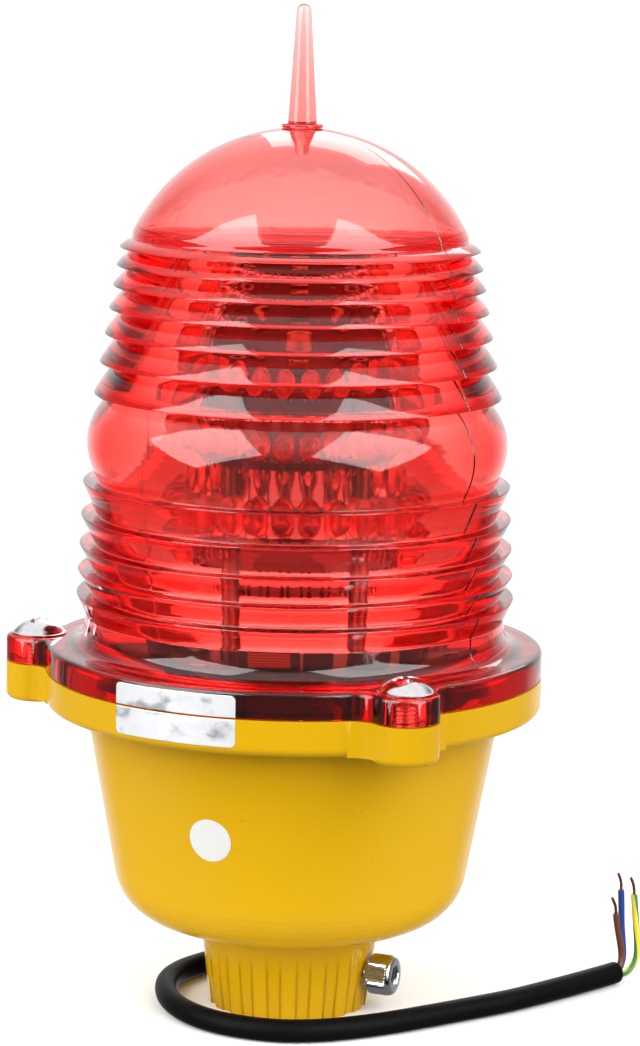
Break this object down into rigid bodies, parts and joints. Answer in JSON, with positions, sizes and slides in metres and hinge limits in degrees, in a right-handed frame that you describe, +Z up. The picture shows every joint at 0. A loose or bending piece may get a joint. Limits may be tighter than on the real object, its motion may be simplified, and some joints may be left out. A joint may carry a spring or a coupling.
{
  "type": "aviation beacon lamp",
  "caption": "Obstruction beacon lamp: a red ribbed drum lens with a dome and bird spike on a flanged cup, with a fluted pipe socket, a lock screw and a supply cable below.",
  "frame": {"origin": "centre of the pipe socket's foot", "axes": "+Z up along the lens and socket axis, -Y towards the viewer of the picture, +X to the viewer's right"},
  "size_m": [0.2102, 0.1658, 0.3211],
  "materials": {
    "yellow_paint": "gloss",
    "gasket_rubber": "matt",
    "red_lens": "clear gloss",
    "red_spike": "satin",
    "screw_chrome": "bright",
    "board_green": "satin",
    "screw_steel": "bright",
    "ferrite": "matt",
    "winding_tape": "gloss",
    "black_plastic": "satin",
    "can_sleeve": "gloss",
    "board_dark": "satin",
    "diode_red": "clear gloss",
    "tinned_leg": "bright",
    "resistor_beige": "satin",
    "black_rubber": "matt",
    "lead_red": "satin",
    "lead_black": "satin",
    "core_brown": "satin",
    "core_blue": "satin",
    "core_green_yellow": "satin",
    "cable_sheath": "satin",
    "copper": "bare strands"
  },
  "bodies": {
    "base": {"base_housing": "yellow_paint", "lens_gasket": "gasket_rubber", "driver_board": "board_green", "board_screws": "screw_steel", "transformer_core": "ferrite", "transformer_winding": "winding_tape", "film_capacitors": "black_plastic", "electrolytics": "can_sleeve", "power_transistor": "black_plastic", "tower_posts": "black_plastic", "tower_spacers": "black_plastic", "tower_nuts": "screw_steel", "ring_board_1": "board_dark", "ring_board_2": "board_dark", "ring_board_3": "board_dark", "led_ring_1": "diode_red", "led_ring_2": "diode_red", "led_ring_3": "diode_red", "led_legs_1": "tinned_leg", "led_legs_2": "tinned_leg", "led_legs_3": "tinned_leg", "ballast_resistors": "resistor_beige", "lead_grommet": "black_rubber", "tower_lead_red": "lead_red", "tower_lead_black": "lead_black", "lead_brown": "core_brown", "lead_blue": "core_blue", "lead_earth": "core_green_yellow", "earth_screw": "screw_steel", "cable_boot": "black_rubber", "cable": "cable_sheath", "core_brown": "core_brown", "core_blue": "core_blue", "core_green_yellow": "core_green_yellow", "core_ends": "copper"},
    "lens": {"lens": "red_lens", "bird_spike": "red_spike"},
    "cover_screw_1": {"cover_screw_1": "screw_chrome"},
    "cover_screw_2": {"cover_screw_2": "screw_chrome"},
    "cover_screw_3": {"cover_screw_3": "screw_chrome"},
    "lock_screw": {"lock_screw": "screw_chrome"}
  },
  "joints": [
    {"name": "lens_lift", "type": "slide", "parent": "base", "child": "lens", "axis": [0, 0, 1], "range_m": [0, 0.19]},
    {"name": "cover_screw_1_out", "type": "slide", "parent": "lens", "child": "cover_screw_1", "axis": [0, 0, 1], "range_m": [0, 0.01]},
    {"name": "cover_screw_2_out", "type": "slide", "parent": "lens", "child": "cover_screw_2", "axis": [0, 0, 1], "range_m": [0, 0.01]},
    {"name": "cover_screw_3_out", "type": "slide", "parent": "lens", "child": "cover_screw_3", "axis": [0, 0, 1], "range_m": [0, 0.01]},
    {"name": "lock_screw_out", "type": "slide", "parent": "base", "child": "lock_screw", "axis": [0.9272, -0.3746, 0], "range_m": [-0.0008, 0.009]}
  ]
}
